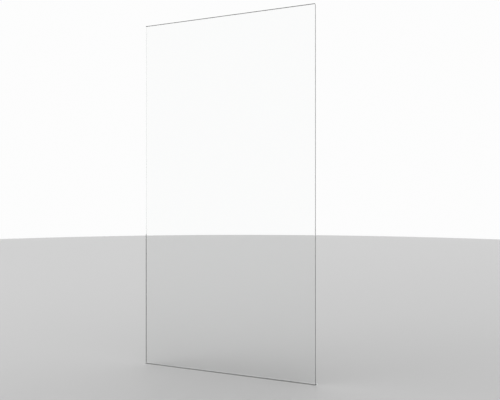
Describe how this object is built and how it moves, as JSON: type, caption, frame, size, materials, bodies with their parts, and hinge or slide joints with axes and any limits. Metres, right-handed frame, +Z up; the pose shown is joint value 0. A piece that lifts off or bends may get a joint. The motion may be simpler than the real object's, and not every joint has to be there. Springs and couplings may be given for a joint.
{
  "type": "frameless glass screen",
  "caption": "Clear frameless glass screen standing upright in a slim aluminium channel sunk flush into the floor, held by packers, wedges and rubber gaskets.",
  "frame": {"origin": "centre of the underside of the floor channel, 46 mm below the finished floor", "axes": "+Z up the glass, X along the width of the screen, -Y towards its front; the finished floor is the plane z = 46 mm"},
  "size_m": [0.611, 0.024, 1.211],
  "materials": {
    "clear_glass": "clear low-iron toughened glass with polished edges",
    "anodised_aluminium": "satin natural anodised",
    "stainless_steel": "plain stainless",
    "block_rubber": "hard matt rubber",
    "packer_plastic": "matt moulded nylon",
    "wedge_plastic": "matt moulded glass-filled nylon",
    "gasket_rubber": "smooth matt grey extruded rubber"
  },
  "bodies": {
    "root": {"glass_panel": "clear_glass", "floor_channel": "anodised_aluminium", "end_plate_left": "anodised_aluminium", "end_plate_right": "anodised_aluminium", "end_plate_screws": "stainless_steel", "setting_block_left": "block_rubber", "setting_block_right": "block_rubber", "front_packer_left": "packer_plastic", "front_packer_middle": "packer_plastic", "front_packer_right": "packer_plastic", "fixed_wedge_left": "packer_plastic", "fixed_wedge_middle": "packer_plastic", "fixed_wedge_right": "packer_plastic", "drive_wedge_left": "wedge_plastic", "drive_wedge_middle": "wedge_plastic", "drive_wedge_right": "wedge_plastic", "end_seal_left": "gasket_rubber", "end_seal_right": "gasket_rubber", "front_gasket": "gasket_rubber", "rear_gasket": "gasket_rubber"}
  },
  "joints": []
}
